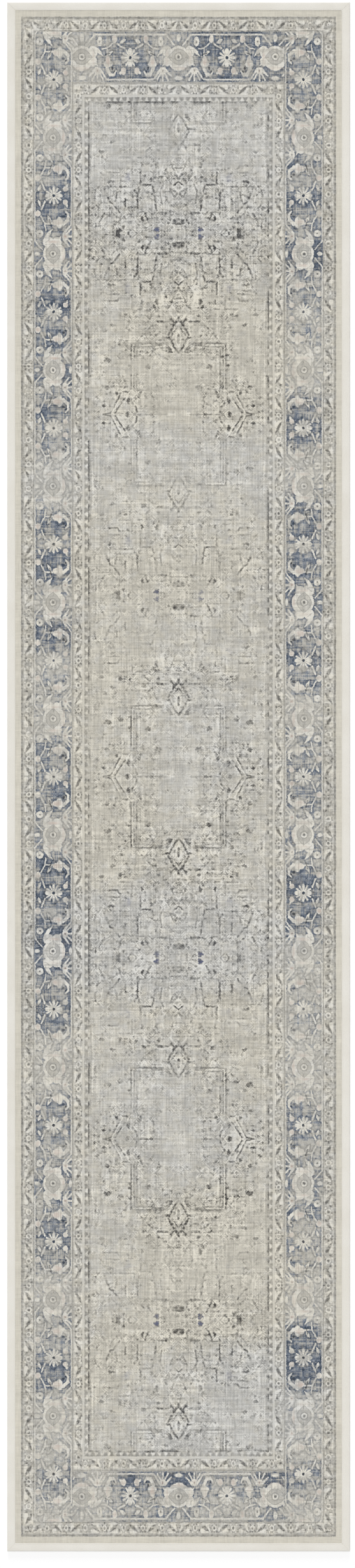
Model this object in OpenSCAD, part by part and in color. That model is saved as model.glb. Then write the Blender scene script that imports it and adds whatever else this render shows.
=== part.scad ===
// Runner rug: a printed flat-woven face on a felt core and a grip backing, with its
// raw edges bound in four strips of folded cream tape. Millimetres, +Z up, +Y along the
// rug. The origin is the middle of the rug on the floor.

/* [Rug] */
// Length over the hems
rug_length = 3660; // [1200:10:4600]
// Width over the hems
rug_width = 810; // [450:10:1600]

/* [Layers] */
// Thickness of the grip backing
backing_t = 1.2; // [0.8:0.1:2.5]
// Thickness of the felt core
felt_t = 1.2; // [0.6:0.1:4]
// Thickness of the printed face cloth
face_t = 1.6; // [1.2:0.1:4]
// How far in from the hem the felt is cut back, so that the hem isn't bulky
felt_setback = 4; // [2:0.5:12]

/* [Hem] */
// Width of the folded tape, seen from above
hem_width = 19; // [15:0.5:40]
// Thickness of the tape with its edge turned under
tape_t = 0.7; // [0.4:0.1:1]

/* [Stitching] */
// Diameter of the sewing thread
thread_d = 0.4; // [0.2:0.05:0.6]
// Distance of the seam from the tape's inner edge
seam_inset = 2.5; // [1.5:0.5:5]

/* [Care label] */
// Length of the label's sewn edge
label_width = 30; // [15:1:60]
// How far the label reaches in from the hem
label_reach = 45; // [20:1:80]
// Thickness of the label
label_t = 0.3; // [0.2:0.05:0.4]
// Distance of the label from the near end of the rug
label_from_end = 150; // [60:10:500]

/* [Hidden] */

// Heights, from the floor up. The bobbin thread lies between the hem and the floor.
felt_z = backing_t;
face_z = felt_z + felt_t;
hem_z = thread_d;
backing_rim_z = hem_z + tape_t;
face_rim_z = backing_rim_z + backing_t;
slot_top_z = face_rim_z + face_t;
hem_top_z = slot_top_z + tape_t;

// The fold is half round. The raw edge of the layers inside it stops where the tape is
// still as thick there as it is on its flat sides.
fold_r = (hem_top_z - hem_z) / 2;
fold_gap = fold_r - sqrt(pow(fold_r, 2) - pow(fold_r - tape_t, 2)) + tape_t;

seam_from_edge = hem_width - seam_inset;
core_inset = hem_width + felt_setback;

// The mitre is sewn shut between the fold and the seams
mitre_from_edge = fold_r + 1;
mitre_to_edge = seam_from_edge - 3;

label_tuck = 8;         // how far the label goes in between the tape and the backing
label_room = 0.1;       // space around the label in the dent it makes in the backing
thread_fn = 16;
fold_fn = 48;
over = 1;               // how far a cutting shape runs past what it cuts

face_color = [0.70, 0.69, 0.66];
felt_color = [0.78, 0.76, 0.71];
backing_color = [0.55, 0.53, 0.50];
tape_color = [0.89, 0.88, 0.84];
thread_color = [0.86, 0.84, 0.78];
label_color = [0.95, 0.95, 0.93];

// A flat sheet whose edges lie `inset` in from the outside of the hem
module sheet(inset, z, t) {
    translate([0, 0, z])
        linear_extrude(t)
            square([rug_width - 2 * inset, rug_length - 2 * inset], center = true);
}

// A flat frame of cloth between two insets
module frame(outer_inset, inner_inset, z, t) {
    difference() {
        sheet(outer_inset, z, t);
        sheet(inner_inset, z - over, t + 2 * over);
    }
}

// A layer of the rug: its middle lies at z, its edge inside the tape lies at rim_z, and
// where the felt is cut back it is as thick as step_t, which fills the step between them
module layer(z, rim_z, t, step_z, step_t) {
    union() {
        sheet(core_inset, z, t);
        frame(hem_width, core_inset, step_z, step_t);
        frame(fold_gap, hem_width, rim_z, t);
    }
}

// Cross-section of the folded tape: a U lying on its side, with its fold at x = 0
module tape_profile() {
    difference() {
        union() {
            translate([fold_r, hem_z + fold_r])
                circle(fold_r, $fn = fold_fn);
            translate([fold_r, hem_z])
                square([hem_width - fold_r, 2 * fold_r]);
        }
        translate([fold_gap, backing_rim_z])
            square([hem_width, slot_top_z - backing_rim_z]);
    }
}

// One mitred strip of tape along the -X side of a rug of the given size
module binding_strip(length, width) {
    edge = -width / 2;
    half = length / 2;
    color(tape_color)
        intersection() {
            translate([edge, half, 0])
                rotate([90, 0, 0])
                    linear_extrude(length)
                        tape_profile();
            translate([0, 0, hem_z - over])
                linear_extrude(hem_top_z + 2 * over)
                    polygon([
                        [edge, -half],
                        [edge, half],
                        [edge + hem_width, half - hem_width],
                        [edge + hem_width, -half + hem_width]
                    ]);
        }
}

// One run of thread along the -X side, at height z, as long as the seam there
module seam_thread(length, width, z) {
    color(thread_color)
        translate([-width / 2 + seam_from_edge, 0, z])
            rotate([90, 0, 0])
                cylinder(h = length, d = thread_d, center = true, $fn = thread_fn);
}

// The needle thread lies on top of the hem
module needle_thread(length, width) {
    seam_thread(length, width, hem_top_z + thread_d / 2);
}

// The bobbin thread lies under it
module bobbin_thread(length, width) {
    seam_thread(length, width, hem_z - thread_d / 2);
}

// The four sides: each strip and seam is drawn on the -X side and turned into place.
// The end seams stop short, where they meet the long ones.
long_seam = rug_length - 2 * seam_from_edge + thread_d;
end_seam = rug_width - 2 * seam_from_edge - thread_d;

module left_binding() {
    binding_strip(rug_length, rug_width);
}

module right_binding() {
    rotate([0, 0, 180]) binding_strip(rug_length, rug_width);
}

module far_end_binding() {
    rotate([0, 0, -90]) binding_strip(rug_width, rug_length);
}

module near_end_binding() {
    rotate([0, 0, 90]) binding_strip(rug_width, rug_length);
}

module left_needle_thread() {
    needle_thread(long_seam, rug_width);
}

module right_needle_thread() {
    rotate([0, 0, 180]) needle_thread(long_seam, rug_width);
}

module far_end_needle_thread() {
    rotate([0, 0, -90]) needle_thread(end_seam, rug_length);
}

module near_end_needle_thread() {
    rotate([0, 0, 90]) needle_thread(end_seam, rug_length);
}

module left_bobbin_thread() {
    bobbin_thread(long_seam, rug_width);
}

module right_bobbin_thread() {
    rotate([0, 0, 180]) bobbin_thread(long_seam, rug_width);
}

module far_end_bobbin_thread() {
    rotate([0, 0, -90]) bobbin_thread(end_seam, rug_length);
}

module near_end_bobbin_thread() {
    rotate([0, 0, 90]) bobbin_thread(end_seam, rug_length);
}

// A short run of hand stitches on each mitre, along the diagonal
module mitre_stitches() {
    color(thread_color)
        for (sx = [-1, 1], sy = [-1, 1])
            translate([
                sx * (rug_width / 2 - mitre_from_edge),
                sy * (rug_length / 2 - mitre_from_edge),
                hem_top_z + thread_d / 2
            ])
                rotate([0, 0, atan2(-sy, -sx)])
                    rotate([0, 90, 0])
                        cylinder(
                            h = (mitre_to_edge - mitre_from_edge) * sqrt(2),
                            d = thread_d, $fn = thread_fn
                        );
}

// The label hangs from the left hem on the underside. Its sewn end is caught between
// the tape and the backing, and the rest lies flat, level with the backing's underside.
module label_shape(room) {
    inner_edge = -rug_width / 2 + hem_width;
    low_y = -rug_length / 2 + label_from_end;
    tuck_z = backing_rim_z;
    // the part that lies flat
    translate([inner_edge - room, low_y - room, -room])
        cube([label_reach + 2 * room, label_width + 2 * room, label_t + 2 * room]);
    // the rise past the tape's inner edge
    translate([inner_edge, low_y - room, -room])
        cube([label_t + room, label_width + 2 * room, tuck_z + label_t + 2 * room]);
    // the end caught in the seam
    translate([inner_edge - label_tuck - room, low_y - room, tuck_z])
        cube([label_tuck + label_t + 2 * room, label_width + 2 * room, label_t + room]);
}

module face_cloth() {
    color(face_color)
        layer(face_z, face_rim_z, face_t, face_rim_z, face_z + face_t - face_rim_z);
}

module felt_core() {
    color(felt_color)
        sheet(core_inset, felt_z, felt_t);
}

module grip_backing() {
    color(backing_color)
        difference() {
            layer(0, backing_rim_z, backing_t, 0, face_rim_z);
            label_shape(label_room);
        }
}

module care_label() {
    color(label_color)
        label_shape(0);
}

face_cloth();
felt_core();
grip_backing();
left_binding();
right_binding();
far_end_binding();
near_end_binding();
left_needle_thread();
right_needle_thread();
far_end_needle_thread();
near_end_needle_thread();
left_bobbin_thread();
right_bobbin_thread();
far_end_bobbin_thread();
near_end_bobbin_thread();
mitre_stitches();
care_label();
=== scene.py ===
"""Runner rug: a printed flat-woven face on felt and a grip backing, bound with folded tape.

Metres, +Y along the rug, +Z up, as in the CAD. The printed pattern is drawn in
millimetres from the middle of the rug.
"""
import math

import bpy
import numpy as np
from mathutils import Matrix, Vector


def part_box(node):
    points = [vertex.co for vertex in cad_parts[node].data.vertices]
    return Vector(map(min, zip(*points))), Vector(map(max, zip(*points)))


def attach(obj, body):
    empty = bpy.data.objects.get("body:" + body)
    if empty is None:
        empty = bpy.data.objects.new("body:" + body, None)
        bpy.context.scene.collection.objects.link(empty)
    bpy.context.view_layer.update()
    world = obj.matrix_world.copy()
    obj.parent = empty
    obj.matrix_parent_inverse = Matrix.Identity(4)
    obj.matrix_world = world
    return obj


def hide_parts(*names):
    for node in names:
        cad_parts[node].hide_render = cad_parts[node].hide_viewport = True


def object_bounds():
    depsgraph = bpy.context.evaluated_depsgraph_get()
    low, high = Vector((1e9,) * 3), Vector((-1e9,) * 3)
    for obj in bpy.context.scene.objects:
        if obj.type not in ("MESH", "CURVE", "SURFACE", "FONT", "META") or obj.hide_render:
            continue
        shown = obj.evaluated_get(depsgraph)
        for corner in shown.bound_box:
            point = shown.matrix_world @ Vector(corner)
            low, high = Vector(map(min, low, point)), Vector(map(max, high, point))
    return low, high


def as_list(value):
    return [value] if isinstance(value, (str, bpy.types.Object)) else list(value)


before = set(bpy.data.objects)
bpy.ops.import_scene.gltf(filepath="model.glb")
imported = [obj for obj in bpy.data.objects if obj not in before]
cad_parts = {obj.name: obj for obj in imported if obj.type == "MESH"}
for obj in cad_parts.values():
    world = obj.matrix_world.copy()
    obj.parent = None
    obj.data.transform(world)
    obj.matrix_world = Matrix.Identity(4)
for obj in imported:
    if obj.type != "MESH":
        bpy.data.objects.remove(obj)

cad_low, cad_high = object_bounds()

# ---- sizes from the frame
MM = 0.001
half_width = cad_high.x
half_length = cad_high.y

tape_low, tape_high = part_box("left_binding")
hem_width = tape_high.x - tape_low.x
hem_bottom = tape_low.z
hem_top = tape_high.z
TAPE_THICKNESS = 0.7 * MM
TAPE_CROWN = 8 * MM         # where the tape is a little proud, from its edge
SEAM_DIP = 0.22 * MM
PUCKER = 0.06 * MM          # how far the seam pulls the tape's top in between stitches
TAPE_STEP = 6 * MM
MITRE_LENGTH = 45 * MM      # how far from its ends the tape has no rows of its own
MITRE_STEPS = (0, 0.5 * MM, 1.2 * MM, 3 * MM, 10 * MM)
MITRE_GROOVE = 0.2 * MM

thread_low, thread_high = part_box("left_needle_thread")
thread_width = thread_high.x - thread_low.x
seam_from_edge = half_width + (thread_low.x + thread_high.x) / 2
STITCH_PITCH = 4 * MM
STITCH_WIDTH = thread_width * 0.9
MITRE_STITCH = 2.6 * MM
MITRE_STITCHES = (4 * MM, 13 * MM, 5)       # insets of the first and the last, and how many

face_low, face_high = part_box("face_cloth")
felt_low, felt_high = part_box("felt_core")
backing_low, backing_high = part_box("grip_backing")
label_low, label_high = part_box("care_label")
core_inset = half_width - felt_high.x
rim_inset = half_width - face_high.x
FACE_STEP = 9 * MM
FELT_STEP = 20 * MM
BACKING_STEP = 18 * MM
RIPPLE_HEIGHT = 0.09 * MM
RIPPLE_ROOM = 0.1 * MM      # the cloth lies this much lower, so that no ripple stands proud
RIPPLE_FADE = 40 * MM
LABEL_THICKNESS = 0.3 * MM
DENT_ROOM = 0.5 * MM        # space around the label in the backing's dent
DENT_WALL = 0.6 * MM
DENT_DEPTH = 0.45 * MM
HAIR = 0.1 * MM             # a point this near the dent's edge counts as in the dent
RIM_RISE = 0.6 * MM         # how far the backing takes to rise over the tape's edge

# ---- the palette
# Light on the flat rug is a little brighter than white, so every cloth is darker by that.
LIGHT_ON_RUG = 1.08


def tint(red, green, blue):
    """A colour named by its 0-255 screen values, as the linear colour of a cloth."""
    linear = []
    for value in (red, green, blue):
        share = value / 255
        share = share / 12.92 if share <= 0.04045 else ((share + 0.055) / 1.055) ** 2.4
        linear.append(share / LIGHT_ON_RUG)
    return (*linear, 1.0)


# ---- node arithmetic
SEED_STEP = 13.7            # how far apart in the noise two seeds lie


class Value:
    """A number or vector in a material. Arithmetic on it adds the nodes that do it."""

    def __init__(self, tree, socket):
        self.tree = tree
        self.socket = socket

    def __add__(self, other):
        return math_node(self.tree, "ADD", self, other)

    def __sub__(self, other):
        return math_node(self.tree, "SUBTRACT", self, other)

    def __rsub__(self, other):
        return math_node(self.tree, "SUBTRACT", other, self)

    def __mul__(self, other):
        return math_node(self.tree, "MULTIPLY", self, other)

    def __truediv__(self, other):
        return math_node(self.tree, "DIVIDE", self, other)

    def __abs__(self):
        return math_node(self.tree, "ABSOLUTE", self)

    __radd__ = __add__
    __rmul__ = __mul__

    def times_plus(self, factor, addend):
        return math_node(self.tree, "MULTIPLY_ADD", self, factor, addend)

    def clamped(self):
        """The value, held between 0 and 1."""
        node = self.tree.nodes.new("ShaderNodeClamp")
        plug(self.tree, self, node.inputs[0])
        return Value(self.tree, node.outputs[0])

    def shift(self, x, y):
        """A point seen from (x, y)."""
        return vector_node(self.tree, "SUBTRACT", self, (x, y, 0))

    def length(self):
        return vector_node(self.tree, "LENGTH", self, out="Value")

    def split(self):
        node = self.tree.nodes.new("ShaderNodeSeparateXYZ")
        plug(self.tree, self, node.inputs[0])
        return [Value(self.tree, out) for out in node.outputs]


def plug(tree, value, place):
    """Links a value to an input, or sets the input if it is a plain number or tuple."""
    if isinstance(value, Value):
        tree.links.new(value.socket, place)
    else:
        place.default_value = value


def math_node(tree, operation, *values):
    node = tree.nodes.new("ShaderNodeMath")
    node.operation = operation
    for value, place in zip(values, node.inputs):
        plug(tree, value, place)
    return Value(tree, node.outputs[0])


def vector_node(tree, operation, *values, out="Vector"):
    node = tree.nodes.new("ShaderNodeVectorMath")
    node.operation = operation
    for value, place in zip(values, node.inputs):
        plug(tree, value, place)
    return Value(tree, node.outputs[out])


def scaled(tree, vector, factor):
    node = tree.nodes.new("ShaderNodeVectorMath")
    node.operation = "SCALE"
    plug(tree, vector, node.inputs["Vector"])
    plug(tree, factor, node.inputs["Scale"])
    return Value(tree, node.outputs["Vector"])


def joined(tree, x, y):
    """The point (x, y, 0)."""
    node = tree.nodes.new("ShaderNodeCombineXYZ")
    plug(tree, x, node.inputs[0])
    plug(tree, y, node.inputs[1])
    return Value(tree, node.outputs[0])


def least(a, b):
    return math_node(a.tree, "MINIMUM", a, b)


def most(a, b):
    return math_node(a.tree, "MAXIMUM", a, b)


def is_more(a, b):
    return math_node(a.tree, "GREATER_THAN", a, b)


def is_less(a, b):
    return math_node(a.tree, "LESS_THAN", a, b)


def folded(a, half_period):
    """Distance from the nearest whole number of periods."""
    return math_node(a.tree, "PINGPONG", a, half_period)


def either(choice, if_0, if_1):
    """if_0 or if_1, as choice goes from 0 to 1."""
    tree = choice.tree
    node = tree.nodes.new("ShaderNodeMix")
    node.data_type = "FLOAT"
    plug(tree, choice, node.inputs[0])
    plug(tree, if_0, node.inputs[2])
    plug(tree, if_1, node.inputs[3])
    return Value(tree, node.outputs[0])


def paint(base, cover, colour):
    """The base colour with another laid over it where cover is 1."""
    tree = cover.tree
    node = tree.nodes.new("ShaderNodeMix")
    node.data_type = "RGBA"
    plug(tree, cover, node.inputs[0])
    plug(tree, base, node.inputs[6])
    plug(tree, colour, node.inputs[7])
    return Value(tree, node.outputs[2])


def ramp(value, stops):
    """A colour that goes through the stops (place, colour) as value goes from 0 to 1."""
    node = value.tree.nodes.new("ShaderNodeValToRGB")
    elements = node.color_ramp.elements
    while len(elements) < len(stops):
        elements.new(0.5)
    for element, (place, colour) in zip(elements, stops):
        element.position = place
        element.color = colour
    plug(value.tree, value, node.inputs[0])
    return Value(value.tree, node.outputs[0])


def noise(point, sizes, detail=2.0, roughness=0.5, seed=0.0):
    """Smooth noise around 0.5, whose lumps have about these sizes in the point's units."""
    tree = point.tree
    scale = [1 / size for size in sizes] + [0] * (3 - len(sizes))
    place = vector_node(tree, "MULTIPLY_ADD", point, scale, (0, 0, seed * SEED_STEP))
    node = tree.nodes.new("ShaderNodeTexNoise")
    plug(tree, place, node.inputs["Vector"])
    node.inputs["Scale"].default_value = 1.0
    node.inputs["Detail"].default_value = detail
    node.inputs["Roughness"].default_value = roughness
    return Value(tree, node.outputs[0])


def diamonds(point, size, seed=0.0):
    """Scattered diamonds: (distance to the nearest centre, how far from the edge between)."""
    tree = point.tree
    place = vector_node(tree, "MULTIPLY_ADD", point, (1 / size, 1 / size, 0), (seed, seed, 0))
    distances = []
    for feature in ("F1", "F2"):
        node = tree.nodes.new("ShaderNodeTexVoronoi")
        node.voronoi_dimensions = "2D"
        node.distance = "MANHATTAN"
        node.feature = feature
        node.inputs["Scale"].default_value = 1.0
        plug(tree, place, node.inputs["Vector"])
        distances.append(Value(tree, node.outputs["Distance"]) * size)
    nearest, next_nearest = distances
    return nearest, next_nearest - nearest


# ---- drawing with distance
# Each shape gives the distance to its outline, negative inside. Shapes are joined with
# least() and laid on the cloth with inked().
PRINT_BLUR = 1.3


def inked(distance, blur=PRINT_BLUR):
    """1 inside a shape and 0 outside it, with the slightly soft edge of a print."""
    return distance.times_plus(-1 / blur, 0.5).clamped()


def stroke(point, start, end, width, end_width=None):
    """A straight stroke with round ends, which can taper."""
    tree = point.tree
    run = (end[0] - start[0], end[1] - start[1], 0)
    run_squared = run[0] ** 2 + run[1] ** 2
    from_start = point.shift(*start)
    aim = tuple(r / run_squared for r in run)
    along = vector_node(tree, "DOT_PRODUCT", from_start, aim, out="Value").clamped()
    off = vector_node(tree, "DISTANCE", from_start, scaled(tree, run, along), out="Value")
    if end_width is None:
        return off - width / 2
    return off - along.times_plus((end_width - width) / 2, width / 2)


def leaf(point, start, end, width):
    """A leaf, pointed at both ends."""
    tree = point.tree
    run = (end[0] - start[0], end[1] - start[1])
    length = math.hypot(*run)
    middle = ((start[0] + end[0]) / 2, (start[1] + end[1]) / 2)
    from_middle = point.shift(*middle)
    along_axis = (2 * run[0] / length ** 2, 2 * run[1] / length ** 2, 0)
    across_axis = (-run[1] / length, run[0] / length, 0)
    along = vector_node(tree, "DOT_PRODUCT", from_middle, along_axis, out="Value")
    across = vector_node(tree, "DOT_PRODUCT", from_middle, across_axis, out="Value")
    return (along * along).times_plus(width / 2, -width / 2) + abs(across)


def joined_shapes(shapes):
    """The union of shapes that are drawn one after the other."""
    union = None
    for shape in shapes:
        union = shape if union is None else least(union, shape)
    return union


def line(point, corners, width):
    """A stroke through several corners."""
    pairs = zip(corners, corners[1:])
    return joined_shapes(stroke(point, start, end, width) for start, end in pairs)


def disc(point, centre, radius):
    return point.shift(*centre).length() - radius


def oval(point, centre, radii):
    tree = point.tree
    in_radii = vector_node(
        tree, "MULTIPLY", point.shift(*centre), (1 / radii[0], 1 / radii[1], 0)
    )
    return (in_radii.length() - 1) * min(radii)


def petals(point, centre, count, reach, width, inner=0.0):
    """Petals of one width around a centre, the first of them along +X."""
    local = point.shift(*centre)
    x, y, _ = local.split()
    angle = math_node(point.tree, "ARCTAN2", y, x)
    radius = local.length()
    off_axis = folded(angle, math.pi / count) * radius
    shape = most(off_axis - width / 2, radius - reach)
    return most(shape, inner - radius) if inner else shape


# ---- the layout of the print
# Distances in from the edge of the rug, in millimetres, on its long sides.
SIDE = half_width / MM
END = half_length / MM
MARGIN_END = 32.5
GUARD_START = 37
GUARD_LINE = 61.6
BORDER_START = 63.5
BORDER_MIDDLE = 108
BORDER_END = 152.6
INNER_GUARD_LINE = 154.4
INNER_GUARD_START = 156
INNER_GUARD_SCALE = 1.12    # the inner guards are this much narrower than the outer ones
INNER_GUARD_END = 177.5
TEETH_START = 182.8
TEETH_WIDTH = 7
TEETH_END = 190.3
FIELD_START = 194.5
SHADE_END = 199             # how far the faint shade along the field's edge reaches
DARK_RINGS = ((GUARD_LINE, 2.4), (INNER_GUARD_LINE, 2.6))
PALE_RINGS = ((39.2, 2), (59, 2), (158, 2.4))

# The bands are wider on the ends. Past each of these distances from the end the scale
# of the bands changes by the amount that follows.
END_BANDS = ((19, -0.118), (70, -0.137), (185.5, 0.093))
END_BORDER_MIDDLE = 129
END_BORDER_END = 187

MOTIF_HALF = 137.3          # from a star to the next rosette, along the sides
END_MOTIF_HALF = 114.4      # the same, on the ends
GAP_START = 26              # on the ends, from a rosette's middle to the gap next to it,
GAP_END = 94                # and to where the star begins
CORNER = 154.6              # how far in from the sides the end borders start
# The end borders are wider, so their motifs are drawn larger, most of all their outsides
END_MIDDLE_HALF = 28
END_MIDDLE_RATE = 0.92
END_OUTER_RATE = 0.69
GUARD_HALF = 58             # from a dark flower to the next pale one
GUARD_OFFSET = 42           # from the middle of a side to its first dark flower
END_GUARD_OFFSET = 84.4     # the same, on the ends
END_GUARD_SCALE = 1.28      # along the ends the guards are squeezed by this much
TOOTH_HALF = 9.4
END_TOOTH_SCALE = 1.25
MEDALLION_HALF = 428        # from the middle of a medallion to the middle of the next gap


class Layout:
    """Where a point of the print is: its bands, and its folded places in the repeats."""

    def __init__(self, point):
        self.tree = point.tree
        self.x, self.y, _ = point.split()
        self.from_middle = abs(self.x)
        from_side = SIDE - self.from_middle
        from_end = END - abs(self.y)
        even = from_end
        for start, change in END_BANDS:
            even = even + most(from_end - start, 0.0) * change
        self.from_side = from_side
        self.from_end = from_end
        self.depth = least(from_side, even)
        self.on_end = is_more(from_side, even)

    def past(self, depth, blur=PRINT_BLUR):
        """1 further in from the edge than depth."""
        return self.depth.times_plus(1 / blur, 0.5 - depth / blur).clamped()

    def between(self, start, end, blur=PRINT_BLUR):
        middle = (start + end) / 2
        return inked(abs(self.depth - middle) - (end - start) / 2, blur)

    def lines_at(self, lines):
        """1 on the lines that run round the rug, each at (depth, width)."""
        return sum(self.between(depth - width / 2, depth + width / 2) for depth, width in lines)

    def border_point(self):
        """(distance in from the border's middle, distance from a rosette's middle)."""
        side_b = MOTIF_HALF - folded(self.y, MOTIF_HALF)
        side_q = self.from_side - BORDER_MIDDLE
        # on the ends the motifs keep their size, but the gaps between them are squeezed
        along = folded(self.x, END_MOTIF_HALF)
        in_gaps = most(along - GAP_START, 0.0) - most(along - GAP_END, 0.0)
        end_b = along + in_gaps * ((MOTIF_HALF - END_MOTIF_HALF) / (GAP_END - GAP_START))
        off = self.from_end - END_BORDER_MIDDLE
        near = most(least(off, END_MIDDLE_HALF), -END_MIDDLE_HALF)
        end_q = off * END_OUTER_RATE + near * (END_MIDDLE_RATE - END_OUTER_RATE)
        is_end = is_more(self.from_side, CORNER) * is_less(self.from_end, END_BORDER_END)
        q = either(is_end, side_q, end_q)
        return joined(self.tree, q, either(is_end, side_b, end_b))

    def guard_point(self):
        """(distance across the guard, distance from a dark flower)."""
        inner = (self.depth - INNER_GUARD_START) * INNER_GUARD_SCALE
        across = either(is_more(self.depth, BORDER_MIDDLE), self.depth - GUARD_START, inner)
        on_side = abs(self.y) - GUARD_OFFSET
        on_end = (self.from_middle - END_GUARD_OFFSET) * END_GUARD_SCALE
        along = either(self.on_end, on_side, on_end)
        return joined(self.tree, across, folded(along, GUARD_HALF))

    def tooth_point(self):
        along = either(self.on_end, self.y, self.x * END_TOOTH_SCALE)
        return (self.depth - TEETH_START) / TEETH_WIDTH, folded(along, TOOTH_HALF) / TOOTH_HALF

    def field_point(self):
        """(distance from the middle line, distance from a medallion's middle)."""
        return joined(self.tree, self.from_middle, folded(self.y, MEDALLION_HALF))


# ---- tones of the print
# The print is drawn as one tone, from dark to light, which three ramps turn into a colour:
# warm or cool grey for the ground and the motifs, and blue for the border's ground.
DARKEST = 70
LIGHTEST = 220


def tone(value):
    """The tone whose screen value, from 0 to 255, is this."""
    return (value - DARKEST) / (LIGHTEST - DARKEST)


def tones(value):
    """How far apart in tone two greys are whose screen values differ by this."""
    return value / (LIGHTEST - DARKEST)


WARM_RAMP = (
    (0.0, tint(73, 71, 68)),
    (0.4, tint(132, 129, 121)),
    (0.7, tint(179, 175, 164)),
    (1.0, tint(224, 219, 205)),
)
COOL_RAMP = (
    (0.0, tint(71, 71, 73)),
    (0.4, tint(129, 129, 127)),
    (0.7, tint(175, 174, 170)),
    (1.0, tint(221, 220, 215)),
)
BLUE_RAMP = (
    (0.0, tint(60, 70, 83)),
    (0.25, tint(96, 105, 119)),
    (0.5, tint(136, 142, 150)),
    (0.75, tint(180, 181, 181)),
    (1.0, tint(219, 217, 210)),
)
BORDER_GROUND = tone(188)
BORDER_INK = tones(95)      # how much darker the ground is where its blue is kept
MOTIF = tone(200)
GUARD_GROUND = tone(179)
SLANTED_LEAF = tone(176)
TEETH_GROUND = tone(184)
TOOTH = tone(208)
FIELD_GROUND = tone(191)
PALE_RING = tone(203)
PALE_BAND = tone(197)
MARGIN = tone(200)
PINK = tint(196, 178, 166)
FLOWER_BLUE = tint(92, 98, 125)


# ---- motifs of the border
# The border's own axes: the first number is the distance in from the middle line of the
# border, towards the field, and the second the distance from the middle of a rosette.
PALMETTE = (29, 41)
RING_DOT = (-31, 47.8)
BLOSSOM = (-35.5, 95)
LATE_FLOWER = (29.5, 121.5)
STAR_OFF_MIDDLE = 1.8
STAR_CORE = 3.2


def star_leaves(p):
    """A star seen from its middle, in the quarter where both numbers are more than 0."""
    yield petals(p, (0, 0), 12, 20.5, 3.8, STAR_CORE)
    yield oval(p, (14, 0), (6.5, 5.2))
    yield oval(p, (0, 14), (3, 7.5))


def rosette_leaves(p):
    yield oval(p, (3, 0), (26.3, 27))
    yield oval(p, (-11, 28), (12.5, 12.5))
    yield oval(p, (9, 27), (11, 11.5))
    yield line(p, ((-17, 37), (-9, 49)), 8)
    yield stroke(p, (-9, 49), (-1.7, 58), 6, 1.5)
    yield stroke(p, (14, 33), (19, 41), 7, 1.5)


def palmette_leaves(p):
    yield oval(p, PALMETTE, (6.5, 10.5))
    yield stroke(p, (26, 34), (38, 17), 5.5, 2)
    yield stroke(p, (26, 48), (43.5, 70), 5.5, 2)
    yield stroke(p, (33, 36), (44, 25), 3, 4)
    yield stroke(p, (35, 41), (45, 41), 3.2, 5)
    yield stroke(p, (33, 48), (43, 58), 3, 4)
    yield oval(p, (41.4, 0), (3.3, 9))


def bud_leaves(p):
    yield oval(p, (15.5, 74), (7, 13.5))
    yield oval(p, (10.5, 74), (11.5, 7.5))
    yield stroke(p, (24, 70), (35, 80), 8, 7)
    yield stroke(p, (35, 80), (36.5, 93), 6.5, 4.5)
    yield stroke(p, (36, 93), (30, 100), 4.5, 3)
    yield leaf(p, (-4, 73), (-13, 90), 6)
    yield disc(p, RING_DOT, 8.2)
    yield oval(p, BLOSSOM, (6.5, 7.5))


def border_leaves(p):
    """The cream shapes of the border, apart from the star."""
    yield joined_shapes(rosette_leaves(p))
    yield joined_shapes(palmette_leaves(p))
    yield joined_shapes(bud_leaves(p))


def border_lines(p):
    """The thin pale lines and vines of the border."""
    yield line(p, ((-25.5, 10), (-42.6, 30), (-42.6, MOTIF_HALF)), 2.6)
    yield line(p, ((43, 70), (43.5, 76), (43.5, MOTIF_HALF)), 2.4)
    yield stroke(p, (-2, 71.5), (-19, 71.5), 4.5, 2.5)
    yield line(p, ((-17, 55), (-19, 71.5), (-28.5, 89)), 2.6)
    yield stroke(p, (-27, 104), (-19, 124), 3.4)
    yield leaf(p, (-29, 112), (-35, 127), 6)
    yield leaf(p, (34, 109), (31, 120), 5)
    yield disc(p, LATE_FLOWER, 6)
    yield oval(p, (-37, 0), (6, 4.5))


def border_centres(p):
    """The dark centres of the flowers."""
    yield disc(p, (0, 0), 3)
    yield disc(p, RING_DOT, 2.2)
    yield disc(p, PALMETTE, 2.0)
    yield disc(p, (30.5, 93), 2)
    yield disc(p, (25, 88), 3)
    yield stroke(p, (-4, 66), (-8, 80), 3)


def rosette_eye(p):
    return leaf(p, (0, -24), (0, 24), 34)


def border_details(p):
    """Faint marks inside the cream shapes."""
    yield stroke(p, (1.4, 16), (1.4, 26), 1.6)
    yield stroke(p, (13, 60), (13, 90), 1.5)
    yield abs(rosette_eye(p)) - 1
    yield abs(disc(p, (0, 0), 8.5)) - 1.0
    yield stroke(p, (-18, 26), (-8, 34), 1.8)


def border_blossoms(p):
    """The pinkish parts of the flowers."""
    yield disc(p, BLOSSOM, 5)
    yield disc(p, LATE_FLOWER, 5)
    yield disc(p, PALMETTE, 4)
    yield oval(p, (10, 74), (10, 6))
    yield oval(p, (2, 28), (12, 3))
    yield oval(p, (25, 0), (3, 14))


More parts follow.
